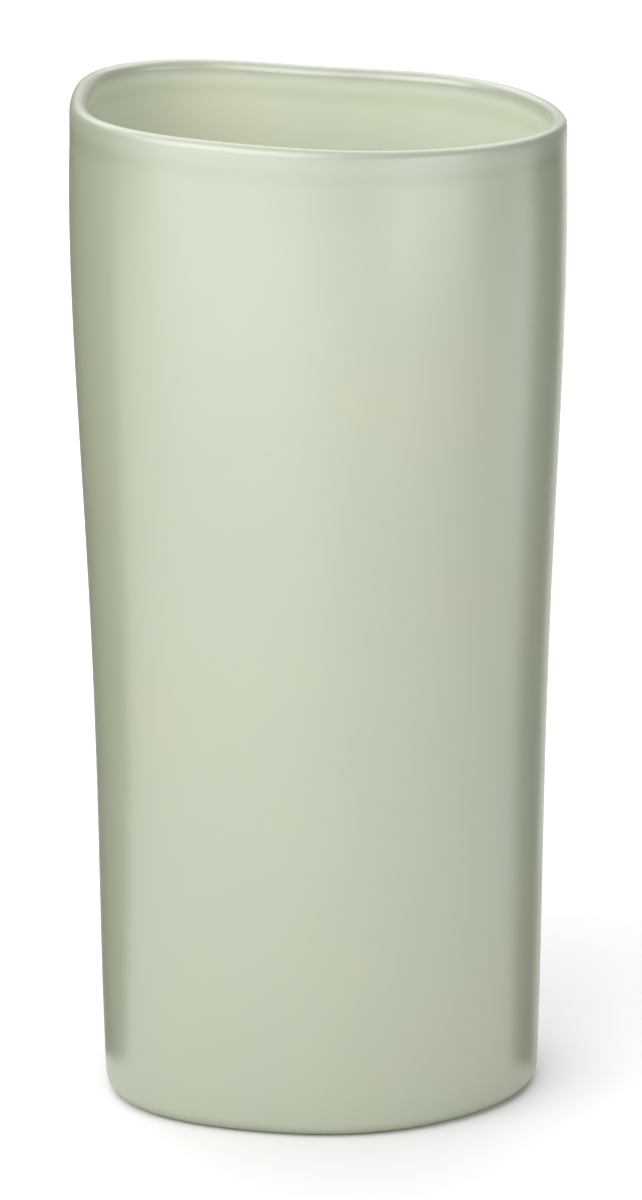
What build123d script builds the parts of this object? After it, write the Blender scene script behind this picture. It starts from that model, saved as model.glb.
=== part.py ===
from build123d import *
import math
import os

os.makedirs("parts", exist_ok=True)

# A tall pot for standing writing brushes in, slip-cast in stoneware and glazed inside and out.
# Millimetres. Z is up, the pot stands on z = 0, and the origin is the middle of its plan.
# +X is the pot's right, -Y its front.

# Heights and thicknesses
HEIGHT = 200.0            # top of the lip, before the lip is made to slope
LIP_RADIUS = 1.7          # the lip is a half round, glaze included
WALL_AT_FLOOR = 4.6       # the wall is thicker low down, where slip stays longest
GLAZE = 0.3               # thickness of the glaze coat
FLOOR_TOP = 7.0           # inside floor, glaze included
FLOOR_CORNER = 9.0        # radius where the inside wall runs into the floor
FOOT_RADIUS = 3.0         # rounding from the wall into the foot
FOOT_LAND = 4.0           # width of the flat ring the pot stands on
RECESS = 1.2              # the underside is hollowed by this much inside the foot ring
GLAZE_LINE = 0.5          # the glaze stops this far above the table

# The pot's plan: a circle pushed out into a soft, uneven, rounded square.
# Each pair is how far it is pushed, as a share of its radius, and in which direction, degrees.
PLAN_OVAL = (0.046, -12)
PLAN_THREE = (0.030, 14)
PLAN_FOUR = (0.034, 42)
PLAN_FIVE = (0.019, -11.6)

# The same plan is used at the base and at the lip, where it is larger
BASE_SIZE = 43.1          # mean distance from the axis to the outside of the wall
LIP_SIZE = 46.4           # mean distance from the axis to the middle of the lip
LIP_SHIFT = (0.7, -172)   # the lip's middle is this far from the base's, and in this direction

# How the wall moves from the base's outline out to the lip's
FULLNESS = 1.79
LEAN = -1.1
WAIST = -1.86

# The lip slopes: it is this much higher in this direction than at the axis
LIP_SLOPE = (2.33, -149)

# A faint bead round the lip
BEAD = 0.2                # how far it stands out of the wall outside
LIP_SWELL = 0.4           # how much thicker than the wall under it the lip is
BEAD_WIDTH = 3.5
BEAD_DROP = 1.8
BEAD_START = 184.0        # height where the bead starts to show

RING_POINTS = 40          # points in each ring the surfaces are drawn through


def wave(order, push, angle):
    """One push of the plan: `order` bulges round the pot, one of them at push[1] degrees."""
    return push[0] * math.cos(order * (angle - math.radians(push[1])))


def plan(angle):
    """Distance from the axis to the pot's outline, as a share of its mean."""
    soft = wave(2, PLAN_OVAL, angle) + wave(3, PLAN_THREE, angle)
    return 1 + soft + wave(4, PLAN_FOUR, angle) + wave(5, PLAN_FIVE, angle)


def rise(up):
    """Share of the way from the base's outline to the lip's, `up` running 0 to 1."""
    hump = up * (1 - up)
    return up + FULLNESS * hump + LEAN * hump * (1 - 2 * up) + WAIST * (2 * hump) ** 2


def outside_point(angle, height):
    """A point on the glazed outside of the wall. `height` is as if the lip were level."""
    up = height / (HEIGHT - LIP_RADIUS)
    base = BASE_SIZE * plan(angle)
    lip = LIP_SIZE * plan(angle) + wave(1, LIP_SHIFT, angle) + LIP_RADIUS
    drop = HEIGHT - height - BEAD_DROP
    radius = base + (lip - base) * rise(up) + BEAD * math.exp(-(drop / BEAD_WIDTH) ** 2)
    lift = wave(1, LIP_SLOPE, angle) * up ** 2
    return Vector(radius * math.cos(angle), radius * math.sin(angle), height + lift)


def outside_normal(angle, height):
    """Level direction pointing straight out of the wall at that point."""
    step = 0.01
    along = outside_point(angle + step, height) - outside_point(angle - step, height)
    return Vector(along.Y, -along.X, 0).normalized()


def ring(inset, outline_height, raised=0.0):
    """Closed curve `inset` in from the outside of the wall at that height, then raised."""
    points = []
    for index in range(RING_POINTS):
        angle = 2 * math.pi * index / RING_POINTS
        point = outside_point(angle, outline_height)
        point -= outside_normal(angle, outline_height) * inset
        points.append(point + Vector(0, 0, raised))
    return Wire([Edge.make_spline(points, periodic=True)])


def level_ring(inset, outline_height, height):
    """The same curve pressed flat at `height`."""
    points = []
    for index in range(RING_POINTS):
        angle = 2 * math.pi * index / RING_POINTS
        point = outside_point(angle, outline_height)
        point -= outside_normal(angle, outline_height) * inset
        points.append(Vector(point.X, point.Y, height))
    return Wire([Edge.make_spline(points, periodic=True)])


def wall_thickness(height):
    """Thickness of the wall, glaze to glaze."""
    lip_start = HEIGHT - LIP_RADIUS
    thinnest = 2 * LIP_RADIUS - LIP_SWELL
    swell = LIP_SWELL * math.exp(-((lip_start - height) / BEAD_WIDTH) ** 2)
    return thinnest + (WALL_AT_FLOOR - thinnest) * (1 - height / lip_start) ** 2 + swell


def inside_ring(height, depth):
    """Ring on the inside of the wall."""
    return ring(wall_thickness(height) - depth, height)


def foot_ring(height, depth):
    """Ring on the foot rounding. `depth` is how far under the glaze surface it lies."""
    inset = FOOT_RADIUS - math.sqrt(FOOT_RADIUS ** 2 - (FOOT_RADIUS - height) ** 2)
    return level_ring(inset + depth, height, height)


def lip_ring(turn, depth):
    """Ring on the half-round lip, from 0 degrees on the outside to 180 on the inside."""
    radius = LIP_RADIUS - depth
    inset = LIP_RADIUS - radius * math.cos(math.radians(turn))
    return ring(inset, HEIGHT - LIP_RADIUS, radius * math.sin(math.radians(turn)))


def corner_ring(turn, depth):
    """Ring on the rounded corner inside, from 0 degrees at the wall to 90 at the floor."""
    height = FLOOR_TOP + FLOOR_CORNER
    radius = FLOOR_CORNER + depth
    inset = wall_thickness(height) + FLOOR_CORNER - radius * math.cos(math.radians(turn))
    return level_ring(inset, height, height - radius * math.sin(math.radians(turn)))


def skin(rings):
    """The smooth surface through a row of evenly spaced rings."""
    return Shell.make_loft(rings).faces()[0]


def strip(first, second):
    """The straight strip between two rings."""
    return Shell.make_loft([first, second], ruled=True).faces()[0]


def spaced(first, last, count):
    """`count` + 1 evenly spaced values from first to last."""
    return [first + (last - first) * index / count for index in range(count + 1)]


def outside_skins(depth):
    """From the glaze line up the outside and over the lip to its inner edge."""
    lip_start = HEIGHT - LIP_RADIUS
    rounding = [foot_ring(height, depth) for height in spaced(GLAZE_LINE, FOOT_RADIUS, 3)]
    wall = [ring(depth, height) for height in spaced(FOOT_RADIUS, BEAD_START, 12)]
    bead = [ring(depth, height) for height in spaced(BEAD_START, lip_start, 6)]
    lip = [lip_ring(turn, depth) for turn in spaced(0, 180, 8)]
    wall[0] = rounding[-1]
    return [skin(rounding), skin(wall), skin(bead), skin(lip)]


def inside_skins(depth):
    """From the lip's inner edge down the inside and round into the floor, floor included."""
    lip_start = HEIGHT - LIP_RADIUS
    corner_top = FLOOR_TOP + FLOOR_CORNER
    swell = [inside_ring(height, depth) for height in spaced(lip_start, BEAD_START, 6)]
    wall = [inside_ring(height, depth) for height in spaced(BEAD_START, corner_top, 13)]
    corner = [corner_ring(turn, depth) for turn in spaced(0, 90, 5)]
    swell[0] = lip_ring(180, depth)
    wall[-1] = corner[0]
    return [skin(swell), skin(wall), skin(corner), Face(corner[-1])]


def foot_skins():
    """Bare clay: the foot rounding under the glaze, the foot ring and the hollow inside it."""
    rounding = [foot_ring(height, GLAZE) for height in spaced(0, GLAZE_LINE, 4)]
    land_edge = level_ring(FOOT_RADIUS + GLAZE + FOOT_LAND, 0, 0)
    hollow_edge = level_ring(FOOT_RADIUS + GLAZE + FOOT_LAND + RECESS, 0, RECESS)
    land = Face(rounding[0], [land_edge])
    return [skin(rounding), land, strip(land_edge, hollow_edge), Face(hollow_edge)]


def stoneware_body():
    """The fired clay pot itself."""
    return Solid(Shell(foot_skins() + outside_skins(GLAZE) + inside_skins(GLAZE)))


def outer_glaze():
    """The coat on the outside and over the lip."""
    glaze_line = strip(foot_ring(GLAZE_LINE, 0), foot_ring(GLAZE_LINE, GLAZE))
    meeting = strip(lip_ring(180, 0), lip_ring(180, GLAZE))
    return Solid(Shell(outside_skins(0) + outside_skins(GLAZE) + [glaze_line, meeting]))


def inner_glaze():
    """The coat poured inside, from the floor to the lip's inner edge."""
    meeting = strip(lip_ring(180, 0), lip_ring(180, GLAZE))
    return Solid(Shell(inside_skins(0) + inside_skins(GLAZE) + [meeting]))


def save(name, solid, middle):
    """Write one piece, moved so that the middle of the pot's plan is on the Z axis."""
    placed = solid.moved(Location((-middle.X, -middle.Y, 0)))
    export_step(placed, f"parts/{name}.step")
    box = placed.bounding_box()
    print(name, "volume", round(placed.volume), "mm3, size", box.size, "valid", placed.is_valid)


outside = outer_glaze()
plan_middle = outside.bounding_box().center()
print("plan middle before moving", plan_middle)
save("outer_glaze", outside, plan_middle)
save("inner_glaze", inner_glaze(), plan_middle)
save("stoneware_body", stoneware_body(), plan_middle)
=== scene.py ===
# %% [markdown]
# # A glazed stoneware brush pot
# The pot is one piece of slip-cast stoneware under a satin sage glaze. This lesson builds three
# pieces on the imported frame: the fired clay, the glaze outside and the glaze inside. They are
# surfaces swept round a soft, uneven plan, so they are extruded ring by ring from one circle.

# %% Load the frame
import math
import bmesh
import bpy
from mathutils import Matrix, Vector


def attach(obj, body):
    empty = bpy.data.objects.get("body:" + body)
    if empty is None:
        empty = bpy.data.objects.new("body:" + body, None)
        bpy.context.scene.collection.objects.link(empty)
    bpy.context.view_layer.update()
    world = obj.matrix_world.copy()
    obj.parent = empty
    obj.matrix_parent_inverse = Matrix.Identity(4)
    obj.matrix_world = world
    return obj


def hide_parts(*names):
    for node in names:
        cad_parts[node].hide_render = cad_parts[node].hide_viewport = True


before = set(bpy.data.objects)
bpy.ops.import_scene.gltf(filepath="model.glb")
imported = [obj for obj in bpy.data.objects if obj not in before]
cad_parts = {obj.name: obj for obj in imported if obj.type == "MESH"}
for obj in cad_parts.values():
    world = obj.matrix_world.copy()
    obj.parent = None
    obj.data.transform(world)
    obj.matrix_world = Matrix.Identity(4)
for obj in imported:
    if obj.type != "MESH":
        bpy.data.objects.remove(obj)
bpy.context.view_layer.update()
print("frame nodes:", sorted(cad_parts))

# %% [markdown]
# ## The sizes
# A pot is thrown or cast to a few sizes: how tall, how thick the wall, how round the lip. They are
# the CAD model's own, in millimetres, so that the new pieces lie exactly where its solids are.
# Reading them off the frame's mesh would also work, but a formula gives smoother rings.

# %% Sizes of the pot
MM = 0.001
HEIGHT = 200.0
LIP_RADIUS = 1.7
WALL_AT_FLOOR = 4.6
GLAZE = 0.3
FLOOR_TOP = 7.0
FLOOR_CORNER = 9.0
FOOT_RADIUS = 3.0
FOOT_LAND = 4.0
RECESS = 1.2
GLAZE_LINE = 0.5
LIP_START = HEIGHT - LIP_RADIUS
CORNER_TOP = FLOOR_TOP + FLOOR_CORNER

# %% [markdown]
# ## The plan
# Seen from above the pot is a circle pushed out in two, three, four and five places. Each push is
# a share of the radius and a direction, and a cosine carries it smoothly round. A drawn curve
# could give the same outline, but the cosines let every ring have its own size.

# %% Plan of the pot
PUSHES = {2: (0.046, -12), 3: (0.030, 14), 4: (0.034, 42), 5: (0.019, -11.6)}
BASE_SIZE = 43.1
LIP_SIZE = 46.4
LIP_SHIFT = (0.7, -172)
LIP_SLOPE = (2.33, -149)


def wave(order, push, angle):
    """One push of the plan: `order` bulges round the pot, one of them at push[1] degrees."""
    return push[0] * math.cos(order * (angle - math.radians(push[1])))


def plan(angle):
    """Distance from the axis to the outline, as a share of its mean."""
    return 1 + sum(wave(order, push, angle) for order, push in PUSHES.items())


print("plan runs from", round(min(plan(math.radians(a)) for a in range(360)), 3),
      "to", round(max(plan(math.radians(a)) for a in range(360)), 3))

# %% [markdown]
# ## The wall
# The wall stands straight off the foot, swells outwards half way up and stands straight again
# under the lip, where a faint bead keeps the edge from chipping. One function gives any point of
# the glazed outside. A second gives the level direction out of the wall, so that the inside and
# the clay under the glaze can be set in from it by an even thickness.

# %% Shape of the wall
FULLNESS, LEAN, WAIST = 1.79, -1.1, -1.86
BEAD, BEAD_WIDTH, BEAD_DROP = 0.2, 3.5, 1.8
LIP_SWELL = 0.4
STEP = 0.01


def rise(up):
    """Share of the way from the base's outline to the lip's, `up` running 0 to 1."""
    hump = up * (1 - up)
    return up + FULLNESS * hump + LEAN * hump * (1 - 2 * up) + WAIST * (2 * hump) ** 2


def outside_point(angle, height):
    """A point on the glazed outside of the wall, in millimetres from the base's middle."""
    up = height / LIP_START
    base = BASE_SIZE * plan(angle)
    lip = LIP_SIZE * plan(angle) + wave(1, LIP_SHIFT, angle) + LIP_RADIUS
    drop = HEIGHT - height - BEAD_DROP
    radius = base + (lip - base) * rise(up) + BEAD * math.exp(-(drop / BEAD_WIDTH) ** 2)
    lift = wave(1, LIP_SLOPE, angle) * up ** 2
    return Vector((radius * math.cos(angle), radius * math.sin(angle), height + lift))


def outward(angle, height):
    """Level direction pointing straight out of the wall, from points a small step apart."""
    along = outside_point(angle + STEP, height) - outside_point(angle - STEP, height)
    return Vector((along.y, -along.x, 0)).normalized()


def wall_thickness(height):
    """Thickness of the wall, glaze to glaze."""
    thinnest = 2 * LIP_RADIUS - LIP_SWELL
    swell = LIP_SWELL * math.exp(-((LIP_START - height) / BEAD_WIDTH) ** 2)
    return thinnest + (WALL_AT_FLOOR - thinnest) * (1 - height / LIP_START) ** 2 + swell


for height in (0, 100, 185, LIP_START):
    print("wall", round(wall_thickness(height), 2), "mm thick at", height, "mm up")

# %% [markdown]
# ## Rings
# Every surface of the pot is a stack of rings. A ring is written here as a function that takes
# an angle and answers with a point. `depth` is how far under the glaze's surface the ring lies:
# 0 for the glaze itself and 0.3 mm for the clay under it.

# %% Kinds of ring
def wall_ring(inset, height):
    """A ring `inset` in from the outside of the wall."""
    return lambda angle: outside_point(angle, height) - outward(angle, height) * inset


def level_ring(inset, outline_height, height):
    """The same ring pressed flat at `height`."""
    def point(angle):
        flat = outside_point(angle, outline_height) - outward(angle, outline_height) * inset
        return Vector((flat.x, flat.y, height))
    return point


def foot_ring(height, depth):
    """A ring on the rounding between the foot and the wall."""
    inset = FOOT_RADIUS - math.sqrt(FOOT_RADIUS ** 2 - (FOOT_RADIUS - height) ** 2)
    return level_ring(inset + depth, height, height)


def lip_ring(turn, depth):
    """A ring on the half-round lip, from 0 degrees outside to 180 inside."""
    radius = LIP_RADIUS - depth
    inset = LIP_RADIUS - radius * math.cos(math.radians(turn))
    up = Vector((0, 0, radius * math.sin(math.radians(turn))))
    ring = wall_ring(inset, LIP_START)
    return lambda angle: ring(angle) + up


def corner_ring(turn, depth):
    """A ring on the rounded corner inside, from 0 degrees at the wall to 90 at the floor."""
    radius = FLOOR_CORNER + depth
    inset = wall_thickness(CORNER_TOP) + FLOOR_CORNER - radius * math.cos(math.radians(turn))
    return level_ring(inset, CORNER_TOP, CORNER_TOP - radius * math.sin(math.radians(turn)))


def floor_ring(share, depth):
    """A ring on the floor inside, `share` of the size of the corner's last ring."""
    edge = corner_ring(90, depth)
    def point(angle):
        rim = edge(angle)
        return Vector((rim.x * share, rim.y * share, rim.z))
    return point


def spaced(first, last, count):
    """`count` + 1 evenly spaced values from first to last."""
    return [first + (last - first) * index / count for index in range(count + 1)]


# %% [markdown]
# ## Stacks of rings
# Rings are close together where the surface turns quickly, on the lip and in the corners, and
# further apart up the wall. The small steps at the lip's inner edge make the outside glaze arrive
# there facing the way the inside glaze leaves, so that no seam shows between them. Each ring is
# paired with how far over the lip it lies, from 0 outside to 1 inside, for the glaze's colour to
# follow later.

# %% Outside and inside stacks
BEAD_START = 184.0
FOOT_STEPS, WALL_STEPS, BEAD_STEPS, LIP_STEPS = 6, 40, 12, 20
INSIDE_WALL_STEPS, CORNER_STEPS = 36, 12
LIP_TURNS = spaced(0, 170, LIP_STEPS)[1:] + [174, 177, 179, 180]
FLOOR_SHARES = (0.8, 0.6, 0.4, 0.2)


def outside_rings(depth):
    """From the glaze line up the outside and over the lip to its inner edge."""
    rings = [foot_ring(height, depth) for height in spaced(GLAZE_LINE, FOOT_RADIUS, FOOT_STEPS)]
    heights = spaced(FOOT_RADIUS, BEAD_START, WALL_STEPS)[1:]
    heights += spaced(BEAD_START, LIP_START, BEAD_STEPS)[1:]
    rings += [wall_ring(depth, height) for height in heights]
    lip = [(lip_ring(turn, depth), turn / 180) for turn in LIP_TURNS]
    return [(ring, 0) for ring in rings] + lip


def inside_rings(depth):
    """From the lip's inner edge down the wall, round the corner and in to the floor's middle."""
    heights = [LIP_START, LIP_START - 0.3] + spaced(LIP_START - 1, BEAD_START, BEAD_STEPS)
    heights += spaced(BEAD_START, CORNER_TOP, INSIDE_WALL_STEPS)[1:]
    rings = [wall_ring(wall_thickness(height) - depth, height) for height in heights]
    rings += [corner_ring(turn, depth) for turn in spaced(0, 90, CORNER_STEPS)[1:]]
    rings += [floor_ring(share, depth) for share in FLOOR_SHARES]
    return [(ring, 1) for ring in rings]


print(len(outside_rings(0)), "rings outside and", len(inside_rings(0)), "inside")

# %% [markdown]
# ## From rings to a mesh
# A circle is made once, and its edge is extruded again and again, each new ring being moved to
# its place. The `turn` value that each vertex carries is copied by the extrusion, so it always
# says which angle a vertex belongs to. A screw or spin would be quicker on a round pot, but this
# one isn't round.

# %% Extrude a circle through the rings
AROUND = 192
WIDEST_FROM = 150


def plan_middle():
    """Middle of the pot's widest part. The frame's origin is under it."""
    points = [outside_point(math.radians(half / 2), height)
              for half in range(720) for height in spaced(WIDEST_FROM, LIP_START, 24)]
    across = [point.x for point in points]
    deep = [point.y for point in points]
    return Vector(((min(across) + max(across)) / 2, (min(deep) + max(deep)) / 2, 0))


MIDDLE = plan_middle()
print("middle of the plan, in mm from the base's middle:", [round(v, 2) for v in MIDDLE])


def place(verts, layers, ring, over):
    """Moves a ring of vertices to its place, and notes how far up and over the lip it is."""
    for vert in verts:
        angle = vert[layers["turn"]]
        point = ring(angle)
        vert.co = (point - MIDDLE) * MM
        vert[layers["up"]] = point.z / (HEIGHT + wave(1, LIP_SLOPE, angle))
        vert[layers["over"]] = over


def extrude_rings(rings):
    """A tube through all the rings, open at both ends."""
    mesh = bmesh.new()
    bmesh.ops.create_circle(mesh, segments=AROUND, radius=1)
    for name in ("turn", "up", "over"):
        mesh.verts.layers.float.new(name)
    layers = mesh.verts.layers.float
    for vert in mesh.verts:
        vert[layers["turn"]] = math.atan2(vert.co.y, vert.co.x)
    place(mesh.verts, layers, *rings[0])
    edges = mesh.edges[:]
    for ring, over in rings[1:]:
        grown = bmesh.ops.extrude_edge_only(mesh, edges=edges)["geom"]
        verts = [item for item in grown if isinstance(item, bmesh.types.BMVert)]
        fresh = set(verts)
        edges = [item for item in grown if isinstance(item, bmesh.types.BMEdge)
                 and item.verts[0] in fresh and item.verts[1] in fresh]
        place(verts, layers, ring, over)
    return mesh


def open_edges(mesh):
    """The edges that have a face on one side only."""
    return [edge for edge in mesh.edges if edge.is_boundary]


def fill_middles(mesh):
    """Closes both ends of a tube with triangles that meet in the middle."""
    caps = bmesh.ops.holes_fill(mesh, edges=open_edges(mesh), sides=0)["faces"]
    bmesh.ops.poke(mesh, faces=caps)


SHARP = math.radians(50)


def finish_piece(mesh, name, node):
    """Writes the mesh out as a smooth closed piece that stands for a CAD node."""
    bmesh.ops.recalc_face_normals(mesh, faces=mesh.faces)
    for edge in mesh.edges:
        edge.smooth = edge.calc_face_angle() < SHARP
    data = bpy.data.meshes.new(name)
    volume = mesh.calc_volume(signed=True) / MM ** 3
    mesh.to_mesh(data)
    mesh.free()
    data.shade_smooth()
    piece = bpy.data.objects.new(name, data)
    bpy.context.scene.collection.objects.link(piece)
    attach(piece, "root")
    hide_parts(node)
    size = [round(value / MM, 1) for value in piece.dimensions]
    print(name, len(data.polygons), "faces,", size, "mm,", round(volume), "cubic mm")
    return piece


# %% [markdown]
# ## The outside glaze
# On the real pot this is a coat about a third of a millimetre thick, sprayed or dipped on. A
# Solidify modifier could give the coat its thickness, but the clay has to fit under it exactly,
# so the coat's back is extruded through the clay's own rings and bridged to its front along both
# edges.

# %% Outside glaze
mesh = extrude_rings(outside_rings(0) + outside_rings(GLAZE)[::-1])
bmesh.ops.bridge_loops(mesh, edges=open_edges(mesh))
outer_glaze = finish_piece(mesh, "glaze_outside", "outer_glaze")

# %% [markdown]
# ## The inside glaze
# Glaze is poured in, rolled round and poured out again. The coat is a bag: its back runs up from
# the floor's middle to the lip's inner edge, and its front runs back down again. It could be one
# piece with the outside, but it is a separate pouring and can have a finish of its own.

# %% Inside glaze
mesh = extrude_rings(inside_rings(GLAZE)[::-1] + inside_rings(0))
fill_middles(mesh)
inner_glaze = finish_piece(mesh, "glaze_inside", "inner_glaze")

# %% [markdown]
# ## The clay
# Almost all of the clay is hidden. What shows is the foot: the maker wipes the glaze off it so
# that the pot doesn't stick to the kiln shelf, and hollows the underside so that it stands on a
# narrow flat ring.

# %% Clay body
HOLLOW_SHARES, SLOPE_SHARES = (0.2, 0.4, 0.6, 0.8, 1), (0.3, 0.7, 1)
ROUNDING_STEPS = 5


def underside_rings():
    """From near the middle of the hollowed underside, over the flat ring, to the glaze line."""
    hollow = FOOT_RADIUS + GLAZE + FOOT_LAND + RECESS
    rim = level_ring(hollow, 0, RECESS)
    def shrunk(share):
        return lambda angle: Vector((rim(angle).x * share, rim(angle).y * share, RECESS))
    rings = [shrunk(share) for share in HOLLOW_SHARES]
    rings += [level_ring(hollow - RECESS * share, 0, RECESS * (1 - share))
              for share in SLOPE_SHARES]
    rings += [level_ring(FOOT_RADIUS + GLAZE + FOOT_LAND / 2, 0, 0)]
    glaze_turn = math.acos(1 - GLAZE_LINE / FOOT_RADIUS)
    for turn in spaced(0, glaze_turn, ROUNDING_STEPS):
        rings.append(foot_ring(FOOT_RADIUS * (1 - math.cos(turn)), GLAZE))
    return [(ring, 0) for ring in rings]


mesh = extrude_rings(underside_rings() + outside_rings(GLAZE)[1:] + inside_rings(GLAZE)[1:])
fill_middles(mesh)
clay = finish_piece(mesh, "clay_body", "stoneware_body")

# %% [markdown]
# ## Painting with nodes
# All the finishes are built from the same few nodes, so short helpers come first: they add a
# node and fill its inputs, do sums, mix or tint colours, and turn a measure into a soft mask.
# They save typing, and they keep each finish short enough to read.

# %% Node helpers
def add(tree, kind, **values):
    """Adds a node. Each value is a constant or the socket that feeds the input of that name."""
    node = tree.nodes.new("ShaderNode" + kind)
    for name, value in values.items():
        fill(tree, node.inputs[name.replace("_", " ")], value)
    return node


def fill(tree, socket, value):
    """Links a socket to an input, or sets the input to a constant."""
    if isinstance(value, bpy.types.NodeSocket):
        tree.links.new(value, socket)
    else:
        socket.default_value = value


def sums(tree, operation, first, second):
    """Arithmetic on two numbers, each a constant or a socket."""
    node = add(tree, "Math")
    node.operation = operation
    fill(tree, node.inputs[0], first)
    fill(tree, node.inputs[1], second)
    return node.outputs[0]


def blend(tree, share, first, second, kind="MIX"):
    """Goes from the first colour to the second, or to their product, as `share` goes to 1."""
    node = tree.nodes.new("ShaderNodeMix")
    node.data_type = "RGBA"
    node.blend_type = kind
    fill(tree, node.inputs["Factor"], share)
    colours = [socket for socket in node.inputs if socket.type == "RGBA"]
    for socket, value in zip(colours, (first, second)):
        fill(tree, socket, value)
    return [socket for socket in node.outputs if socket.type == "RGBA"][0]


def tint(tree, share, colour, factor):
    """Multiplies a colour by another, as far as `share` says."""
    return blend(tree, share, colour, factor, "MULTIPLY")


def soft_step(tree, value, low, high):
    """A mask that rises smoothly from 0 at `low` to 1 at `high`."""
    node = add(tree, "MapRange", Value=value, From_Min=low, From_Max=high)
    node.interpolation_type = "SMOOTHSTEP"
    return node.outputs["Result"]


def cloud(tree, spot, size, detail=2.0, roughness=0.5):
    """Soft noise from 0 to 1 whose patches are about `size` millimetres across."""
    return add(tree, "TexNoise", Vector=spot, Scale=1 / (size * MM), Detail=detail,
               Roughness=roughness).outputs["Fac"]


# %% [markdown]
# ## The glaze coat
# A satin glaze is glass full of tiny crystals. In the groove under the bead its colour is painted
# deeper and greener, as painted shade, and a band at the bottom of the outside is tinted deeper
# and greener too. Where it runs thin over the lip it is paler, and from there on down the inside
# the colour is a paler sage, painted light that stands in for the light reaching into the pot. The
# colour also drifts from cooler to warmer over the wall, and the coat is never quite level: there
# are slow waves left by the dipping, and a fine dimpling like an orange's skin. A painted image
# could show all this, but noise and masks don't repeat, have no seam, and can be tuned by name.
# Both coats use them, so they form a node group that is built once.

# %% Glaze coat group
WAVES = 26.0
DRIFT = 45.0
CLOUDING = 12.0
DIMPLES = 1.8
WAVE_HEIGHT, DIMPLE_HEIGHT = 0.20, 0.0035
# Painted shade: the groove under the bead is tinted darker between these levels, by this share.
GROOVE_SHADE_FROM, GROOVE_SHADE_TO, GROOVE_SHADE_SHARE = (0.960, 0.971), (0.982, 0.973), 0.35
# The bottom band of the outside is tinted deeper between these levels.
FOOT_BAND = (0.010, 0.002)
THIN_FROM = (0.974, 0.990)
# Painted light: where the inside takes the paler sage that stands in for light reaching into the
# pot.
LIT_INSIDE_OVER, LIT_INSIDE_UNDER = (0.45, 0.85), (1.000, 0.982)
WANDER, WANDER_SIZE = 0.004, 9
COOL_FROM, WARM_FROM = (0.45, 0.28), (0.50, 0.70)
CLOUD_ROUGHNESS, THIN_ROUGHNESS = 0.09, 0.05
COOL = (0.97, 1.0, 1.03, 1)
WARM = (1.04, 1.0, 0.98, 1)
# This tint paints shade into the groove under the bead and deepens the band at the foot.
GROOVE_SHADE_AND_FOOT_TINT = (0.80, 0.85, 0.76, 1)
THIN = (1.03, 1.01, 1.06, 1)


def coat_sockets(group):
    """Names the group's inputs and outputs."""
    for name in ("Outside", "Lit inside"):
        group.interface.new_socket(name, in_out="INPUT", socket_type="NodeSocketColor")
    for name in ("Roughness", "Unevenness"):
        group.interface.new_socket(name, in_out="INPUT", socket_type="NodeSocketFloat")
    group.interface.new_socket("Colour", in_out="OUTPUT", socket_type="NodeSocketColor")
    for name in ("Roughness", "Height"):
        group.interface.new_socket(name, in_out="OUTPUT", socket_type="NodeSocketFloat")


def measure(tree, name):
    """Reads a value that the mesh carries on its vertices."""
    node = add(tree, "Attribute")
    node.attribute_name = name
    return node.outputs["Fac"]


def glaze_coat_group():
    """Node group: a glaze's colour, roughness and height, from its tints and how it lies."""
    group = bpy.data.node_groups.new("GlazeCoat", "ShaderNodeTree")
    coat_sockets(group)
    coat = group.nodes.new("NodeGroupInput").outputs
    result = group.nodes.new("NodeGroupOutput").inputs
    spot = add(group, "TexCoord").outputs["Object"]

    wander = sums(group, "SUBTRACT", cloud(group, spot, WANDER_SIZE), 0.5)
    level = sums(group, "ADD", measure(group, "up"), sums(group, "MULTIPLY", wander, WANDER))
    # Painted shade: the groove under the bead is darkened.
    groove_shade = sums(group, "MULTIPLY", soft_step(group, level, *GROOVE_SHADE_FROM),
                  soft_step(group, level, *GROOVE_SHADE_TO))
    foot = soft_step(group, level, *FOOT_BAND)
    deep = sums(group, "MAXIMUM", sums(group, "MULTIPLY", groove_shade, GROOVE_SHADE_SHARE), foot)
    thin = soft_step(group, level, *THIN_FROM)

    # Painted light: below the lip the inside is painted paler, as if lit.
    lit_inside = sums(group, "MULTIPLY", soft_step(group, measure(group, "over"), *LIT_INSIDE_OVER),
                 soft_step(group, level, *LIT_INSIDE_UNDER))
    colour = blend(group, lit_inside, coat["Outside"], coat["Lit inside"])
    drift = cloud(group, spot, DRIFT, detail=3)
    colour = tint(group, soft_step(group, drift, *COOL_FROM), colour, COOL)
    colour = tint(group, soft_step(group, drift, *WARM_FROM), colour, WARM)
    # Painted shade in the groove under the bead, and the deeper tint of the band at the foot.
    colour = tint(group, deep, colour, GROOVE_SHADE_AND_FOOT_TINT)
    colour = tint(group, thin, colour, THIN)

    clouding = sums(group, "SUBTRACT", cloud(group, spot, CLOUDING, detail=4), 0.5)
    clouding = sums(group, "MULTIPLY", sums(group, "MULTIPLY", clouding, coat["Unevenness"]),
                    CLOUD_ROUGHNESS)
    roughness = sums(group, "ADD", coat["Roughness"], clouding)
    roughness = sums(group, "ADD", roughness, sums(group, "MULTIPLY", thin, THIN_ROUGHNESS))

    waves = sums(group, "MULTIPLY", cloud(group, spot, WAVES, detail=1), WAVE_HEIGHT * MM)
    dimples = sums(group, "MULTIPLY", cloud(group, spot, DIMPLES, detail=1), DIMPLE_HEIGHT * MM)
    height = sums(group, "MULTIPLY", sums(group, "ADD", waves, dimples), coat["Unevenness"])
    for name, socket in {"Colour": colour, "Roughness": roughness, "Height": height}.items():
        group.links.new(socket, result[name])
    return group


GLAZE_COAT = glaze_coat_group()
print("glaze coat group:", len(GLAZE_COAT.nodes), "nodes")

# %% [markdown]
# ## Satin sage glaze
# The material itself is one Principled shader. Stoneware glazes bend light more than window glass
# does, which with a roughness near 0.3 gives the broad, milky sheen of a satin surface. A
# separate coat layer would look lacquered, so the sheen comes from the main layer alone.

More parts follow.
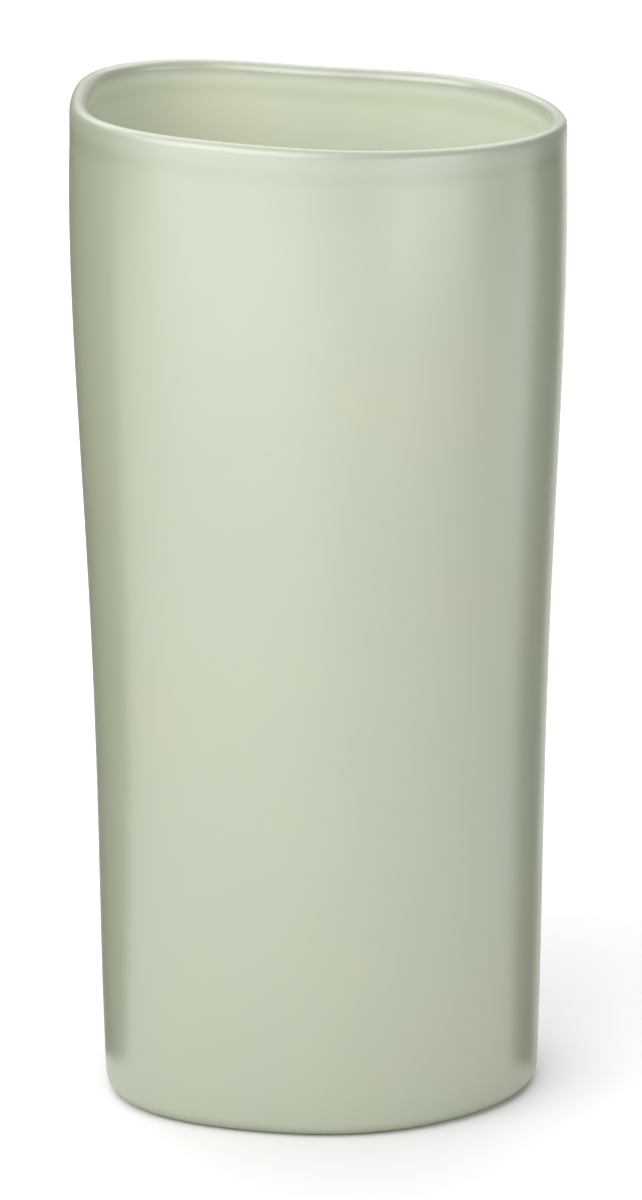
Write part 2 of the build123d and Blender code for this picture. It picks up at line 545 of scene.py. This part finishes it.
# %% Satin sage glaze
SAGE = (0.258, 0.291, 0.205, 1)
# A paler copy of the sage: painted light for the lit inside of the pot.
LIT_INSIDE_SAGE = (0.590, 0.635, 0.506, 1)
SHEEN_IOR = 1.8
SHEEN_LEVEL = 0.75
OUTSIDE_ROUGHNESS, OUTSIDE_UNEVENNESS = 0.335, 1.0
INSIDE_ROUGHNESS, INSIDE_UNEVENNESS = 0.345, 1.1


def satin_glaze(name, roughness, unevenness):
    """The sage glaze, as rough and as uneven as one of its coats came out."""
    material = bpy.data.materials.new(name)
    material.use_nodes = True
    tree = material.node_tree
    shader = tree.nodes["Principled BSDF"]
    coat = tree.nodes.new("ShaderNodeGroup")
    coat.node_tree = GLAZE_COAT
    settings = {"Outside": SAGE, "Lit inside": LIT_INSIDE_SAGE, "Roughness": roughness,
                "Unevenness": unevenness}
    for socket, value in settings.items():
        coat.inputs[socket].default_value = value
    relief = add(tree, "Bump", Strength=1.0, Distance=1.0, Height=coat.outputs["Height"])
    tree.links.new(coat.outputs["Colour"], shader.inputs["Base Color"])
    tree.links.new(coat.outputs["Roughness"], shader.inputs["Roughness"])
    tree.links.new(relief.outputs["Normal"], shader.inputs["Normal"])
    shader.inputs["IOR"].default_value = SHEEN_IOR
    shader.inputs["Specular IOR Level"].default_value = SHEEN_LEVEL
    return material


outer_glaze.data.materials.append(
    satin_glaze("satin_sage_outside", OUTSIDE_ROUGHNESS, OUTSIDE_UNEVENNESS))
inner_glaze.data.materials.append(
    satin_glaze("satin_sage_inside", INSIDE_ROUGHNESS, INSIDE_UNEVENNESS))
print("sage outside", SAGE[:3], "and inside", LIT_INSIDE_SAGE[:3])

# %% [markdown]
# ## Bare clay
# The foot is wiped and lightly rubbed on a stone, so it is matt, with a fine sandy grain, a few
# darker iron specks, and a faint grey shade where it rubs on tables. The grain is real relief, so
# it goes into the bump as well as the colour.

# %% Fired clay
BUFF = (0.60, 0.54, 0.45, 1)
DARKER_BUFF = (0.52, 0.455, 0.37, 1)
SAND = (0.68, 0.63, 0.55, 1)
IRON = (0.16, 0.10, 0.06, 1)
RUBBED = (0.33, 0.31, 0.29, 1)
PATCH, GRAIN, SPECK_GAP = 14, 0.45, 3.2
PATCHY, SANDY, SPECKED = (0.3, 0.7), (0.45, 0.75), (0.12, 0.05)
GRAIN_HEIGHT = 0.06
RUBBED_HEIGHT, RUBBED_SHARE = 0.3, 0.35
MATT, POLISH = 0.92, 0.5


def fired_clay():
    """Matt, sandy, pale buff stoneware."""
    material = bpy.data.materials.new("fired_clay")
    material.use_nodes = True
    tree = material.node_tree
    shader = tree.nodes["Principled BSDF"]
    spot = add(tree, "TexCoord").outputs["Object"]
    patches = cloud(tree, spot, PATCH, detail=4)
    sand = cloud(tree, spot, GRAIN, detail=3)
    colour = blend(tree, soft_step(tree, patches, *PATCHY), BUFF, DARKER_BUFF)
    colour = blend(tree, soft_step(tree, sand, *SANDY), colour, SAND)
    iron = add(tree, "TexVoronoi", Vector=spot, Scale=1 / (SPECK_GAP * MM)).outputs["Distance"]
    colour = blend(tree, soft_step(tree, iron, *SPECKED), colour, IRON)
    level = add(tree, "SeparateXYZ", Vector=spot).outputs["Z"]
    worn = sums(tree, "MULTIPLY", soft_step(tree, level, RUBBED_HEIGHT * MM, 0.0), RUBBED_SHARE)
    colour = blend(tree, sums(tree, "MULTIPLY", worn, patches), colour, RUBBED)
    relief = add(tree, "Bump", Strength=1.0, Distance=1.0,
                 Height=sums(tree, "MULTIPLY", sand, GRAIN_HEIGHT * MM))
    rough = sums(tree, "SUBTRACT", MATT, sums(tree, "MULTIPLY", worn, POLISH))
    tree.links.new(colour, shader.inputs["Base Color"])
    tree.links.new(rough, shader.inputs["Roughness"])
    tree.links.new(relief.outputs["Normal"], shader.inputs["Normal"])
    return material


clay.data.materials.append(fired_clay())
print("clay grain", GRAIN, "mm and iron specks about", SPECK_GAP, "mm apart")

# %% [markdown]
# ## The floor
# The pot stands on plain white paper. Paper isn't perfectly even, so its tone, its roughness and
# its surface all vary a little, too softly to be noticed. A modelled sweep of paper would bend up
# behind the pot, but the camera looks down on it, so a wide flat sheet fills the whole view.
# It lies a hair under the foot, because two surfaces in the same place would flicker.

# %% Floor
PAPER, PAPER_SHADE = (0.75, 0.75, 0.75, 1), (0.73, 0.73, 0.73, 1)
PAPER_PATCH, FIBRE, FIBRE_HEIGHT = 180, 0.8, 0.02
PAPER_ROUGHNESS = (0.76, 0.84)


def white_paper():
    """Plain matt white paper."""
    material = bpy.data.materials.new("white_paper")
    material.use_nodes = True
    tree = material.node_tree
    shader = tree.nodes["Principled BSDF"]
    spot = add(tree, "TexCoord").outputs["Object"]
    tone = soft_step(tree, cloud(tree, spot, PAPER_PATCH), 0.3, 0.7)
    fibres = cloud(tree, spot, FIBRE, detail=3)
    rough = add(tree, "MapRange", Value=fibres, To_Min=PAPER_ROUGHNESS[0],
                To_Max=PAPER_ROUGHNESS[1]).outputs["Result"]
    relief = add(tree, "Bump", Strength=1.0, Distance=1.0,
                 Height=sums(tree, "MULTIPLY", fibres, FIBRE_HEIGHT * MM))
    tree.links.new(blend(tree, tone, PAPER, PAPER_SHADE), shader.inputs["Base Color"])
    tree.links.new(rough, shader.inputs["Roughness"])
    tree.links.new(relief.outputs["Normal"], shader.inputs["Normal"])
    return material


bpy.ops.mesh.primitive_plane_add(size=30)
floor = bpy.context.object
floor.name = "floor"
floor.location.z = -0.05 * MM
floor.data.materials.append(white_paper())
print("floor", round(floor.dimensions.x), "m wide")

# %% [markdown]
# ## The lights
# The light is a pale studio's. A big softbox in front and to the left is the main one, and a
# smaller one on the right fills the other side. A wide one above lights the lip and the inside,
# and one over the paper behind turns the background white. A low, long one in front gives the
# upper wall its sheen, and two small ones beside and behind draw the bright line along the right
# edge. Each softbox is a rectangle, because its reflection is what shows in a satin glaze, and it
# is placed by an angle round the pot, an angle up and a distance.

# %% Lights
CHEST = Vector((0, 0, 0.1))
BEHIND = Vector((0, 1.05, 0))
DAYLIGHT = 0.36


def around(azimuth, elevation, distance):
    """A point seen from the pot's middle, `azimuth` degrees round to its right."""
    turn, tip = math.radians(azimuth), math.radians(elevation)
    level = distance * math.cos(tip)
    return CHEST + Vector((math.sin(turn) * level, -math.cos(turn) * level,
                           distance * math.sin(tip)))


def softbox(name, spot, aim, width, height, strength):
    """A soft rectangular light at `spot` that faces `aim`. `strength` is how bright it looks."""
    light = bpy.data.lights.new(name, "AREA")
    light.shape = "RECTANGLE"
    light.size, light.size_y = width, height
    light.energy = strength * width * height * math.pi
    lamp = bpy.data.objects.new(name, light)
    bpy.context.scene.collection.objects.link(lamp)
    lamp.location = spot
    lamp.rotation_euler = (spot - aim).to_track_quat("Z", "Y").to_euler()
    lamp.visible_camera = False
    print(name, "light", width, "by", height, "m,", round(light.energy, 2), "W")


softbox("key", around(-36, 31, 0.85), CHEST, 1.0, 0.9, 2.7)
softbox("fill", around(52, 10, 0.85), CHEST, 0.6, 0.5, 2.4)
softbox("top", around(-50, 60, 1.0), CHEST, 1.4, 1.4, 1.0)
softbox("behind", BEHIND + Vector((0, 0, 0.9)), BEHIND, 1.6, 1.6, 2.4)
softbox("edge", around(160, 4, 0.6), CHEST, 0.16, 0.4, 0.8)
softbox("low", around(-10, -3, 0.5), CHEST, 1.3, 0.13, 1.4)
softbox("strip", around(102, -3, 0.42), CHEST, 0.12, 0.14, 0.9)

world = bpy.data.worlds.new("studio")
bpy.context.scene.world = world
world.use_nodes = True
sky = world.node_tree.nodes["Background"]
sky.inputs["Color"].default_value = (1, 1, 1, 1)
sky.inputs["Strength"].default_value = DAYLIGHT

# %% [markdown]
# ## Black cards
# In a white studio a pale, shiny pot loses its edges against the background. A black card close
# by on either side cures that, because its reflection draws a dark band down each flank. Each
# card leans outwards, so that the band reaches down to the foot. The cards are only seen in
# reflections here, so they cast no shadow on the paper.

# %% Black cards
CARD_FOOT, CARD_TOP, CARD_HEIGHT = 0.010, 0.08, 0.24
CARD_MARGIN = 0.003
RIGHT_FLANK, LEFT_FLANK = Vector((0.046, -0.01, 0)), Vector((-0.047, -0.005, 0))
BLACK = bpy.data.materials.new("black_card")
BLACK.use_nodes = True
black_shader = BLACK.node_tree.nodes["Principled BSDF"]
black_shader.inputs["Base Color"].default_value = (0.005, 0.005, 0.005, 1)
black_shader.inputs["Specular IOR Level"].default_value = 0


def card(name, flank, azimuth, half_width):
    """A black card beside one flank of the pot, as wide as `half_width` degrees to each side."""
    turn, widening = math.radians(azimuth), math.tan(math.radians(half_width))
    out = Vector((math.sin(turn), -math.cos(turn), 0))
    along = Vector((out.y, -out.x, 0))
    mesh = bmesh.new()
    for distance, level, side in ((CARD_FOOT, 0, -1), (CARD_FOOT, 0, 1),
                                  (CARD_TOP, CARD_HEIGHT, 1), (CARD_TOP, CARD_HEIGHT, -1)):
        end = along * side * (distance * widening + CARD_MARGIN)
        mesh.verts.new(flank + out * distance + end + Vector((0, 0, level)))
    bmesh.ops.contextual_create(mesh, geom=mesh.verts[:])
    data = bpy.data.meshes.new(name)
    mesh.to_mesh(data)
    mesh.free()
    data.materials.append(BLACK)
    black_card = bpy.data.objects.new(name, data)
    bpy.context.scene.collection.objects.link(black_card)
    black_card.visible_camera = False
    black_card.visible_shadow = False
    black_card.visible_diffuse = False
    print(name, "stands", round(CARD_FOOT / MM), "to", round(CARD_TOP / MM), "mm off the wall")


card("card_right", RIGHT_FLANK, 125, 22)
card("card_left", LEFT_FLANK, -121, 46)

# %% [markdown]
# ## The camera
# A long lens from well back shows the pot's sides almost parallel, and from a little above it
# the opening shows as a flattened ring. It aims at a point half way up the pot. The colours go
# out as they are, without a film-like curve, so that the glaze keeps its tint.

# %% Camera
CAMERA_DISTANCE = 1.6
CAMERA_ELEVATION = math.radians(16)
SENSOR_WIDTH, FOCAL_LENGTH = 36, 240.75
AIM = (Vector((1.26, 0, 99.0)) - MIDDLE) * MM
camera_data = bpy.data.cameras.new("camera")
camera_data.sensor_width = SENSOR_WIDTH
camera_data.lens = FOCAL_LENGTH
camera = bpy.data.objects.new("camera", camera_data)
bpy.context.scene.collection.objects.link(camera)
back = Vector((0, -math.cos(CAMERA_ELEVATION), math.sin(CAMERA_ELEVATION)))
camera.location = AIM + back * CAMERA_DISTANCE
camera.rotation_euler = back.to_track_quat("Z", "Y").to_euler()
bpy.context.scene.camera = camera
bpy.context.scene.view_settings.view_transform = "Standard"
print("camera at", [round(value, 3) for value in camera.location])
